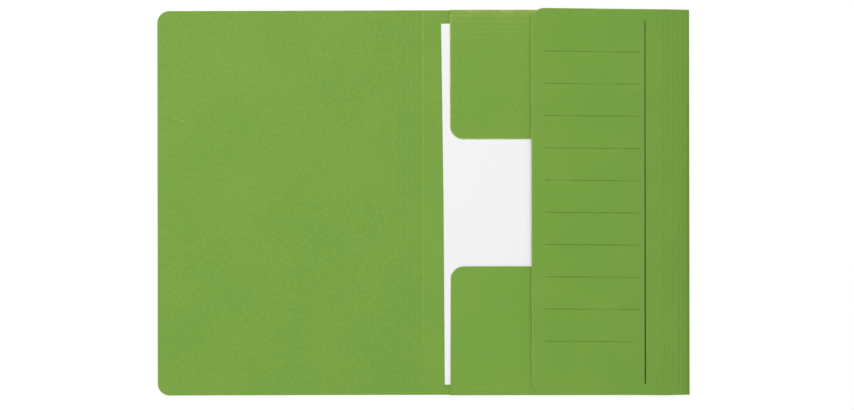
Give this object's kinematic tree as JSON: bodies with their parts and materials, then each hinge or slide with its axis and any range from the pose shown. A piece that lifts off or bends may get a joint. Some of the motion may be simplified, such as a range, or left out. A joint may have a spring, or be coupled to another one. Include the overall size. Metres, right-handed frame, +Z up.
{
  "type": "three-flap folder",
  "caption": "Creased pressboard folder lying open, with top, bottom and side flaps folded in over loose sheets of paper.",
  "frame": {"origin": "on the table, under the middle of the spine crease", "axes": "+X to the right across the open folder, from the cover to the flaps; +Y up the page; +Z up from the table"},
  "size_m": [0.4866, 0.3524, 0.0076],
  "materials": {
    "pressboard": "matt green pressboard, 0.4 mm, dyed through, with fine fibres",
    "paper": "matt white uncoated paper"
  },
  "bodies": {
    "back_panel": {"back_panel": "pressboard"},
    "spine_gusset": {"spine_gusset": "pressboard"},
    "front_cover": {"front_cover": "pressboard"},
    "side_gusset": {"side_gusset": "pressboard"},
    "side_flap": {"side_flap": "pressboard"},
    "top_strip": {"top_strip": "pressboard"},
    "top_flap": {"top_flap": "pressboard"},
    "bottom_strip": {"bottom_strip": "pressboard"},
    "bottom_flap": {"bottom_flap": "pressboard"},
    "sheets": {"sheet_01": "paper", "sheet_02": "paper", "sheet_03": "paper", "sheet_04": "paper", "sheet_05": "paper", "sheet_06": "paper", "sheet_07": "paper", "sheet_08": "paper", "sheet_09": "paper", "sheet_10": "paper", "sheet_11": "paper", "sheet_12": "paper"}
  },
  "joints": [
    {"name": "cover_fold", "type": "hinge", "parent": "back_panel", "child": "spine_gusset", "pos_m": [0, 0, 0.00055], "axis": [0, 1, 0], "range_deg": [0, 160]},
    {"name": "cover_gusset_fold", "type": "hinge", "parent": "spine_gusset", "child": "front_cover", "pos_m": [-0.02375, 0, 0.00055], "axis": [0, 1, 0], "range_deg": [0, 20]},
    {"name": "side_fold", "type": "hinge", "parent": "back_panel", "child": "side_gusset", "pos_m": [0.2432, 0, 0.00055], "axis": [0, 1, 0], "range_deg": [0, 170.5]},
    {"name": "side_gusset_fold", "type": "hinge", "parent": "side_gusset", "child": "side_flap", "pos_m": [0.21978, 0, 0.00447], "axis": [0, 1, 0], "range_deg": [0, 8.3]},
    {"name": "top_fold", "type": "hinge", "parent": "back_panel", "child": "top_strip", "pos_m": [0.1214, 0.176, 0.00055], "axis": [-1, 0, 0], "range_deg": [0, 146]},
    {"name": "top_strip_fold", "type": "hinge", "parent": "top_strip", "child": "top_flap", "pos_m": [0.1214, 0.17206, 0.00321], "axis": [-1, 0, 0], "range_deg": [0, 34.5]},
    {"name": "bottom_fold", "type": "hinge", "parent": "back_panel", "child": "bottom_strip", "pos_m": [0.1214, -0.176, 0.00055], "axis": [1, 0, 0], "range_deg": [0, 146]},
    {"name": "bottom_strip_fold", "type": "hinge", "parent": "bottom_strip", "child": "bottom_flap", "pos_m": [0.1214, -0.17206, 0.00321], "axis": [1, 0, 0], "range_deg": [0, 34.5]},
    {"name": "sheets_slide", "type": "slide", "parent": "back_panel", "child": "sheets", "axis": [-1, 0, 0], "range_m": [0, 0.245]}
  ],
  "couplings": [
    {"joint": "cover_gusset_fold", "follows": "cover_fold", "ratio": 0.125},
    {"joint": "side_gusset_fold", "follows": "side_fold", "ratio": 0.04868},
    {"joint": "top_fold", "follows": "side_fold", "ratio": 0.8563},
    {"joint": "top_strip_fold", "follows": "side_fold", "ratio": 0.20235},
    {"joint": "bottom_fold", "follows": "side_fold", "ratio": 0.8563},
    {"joint": "bottom_strip_fold", "follows": "side_fold", "ratio": 0.20235}
  ]
}
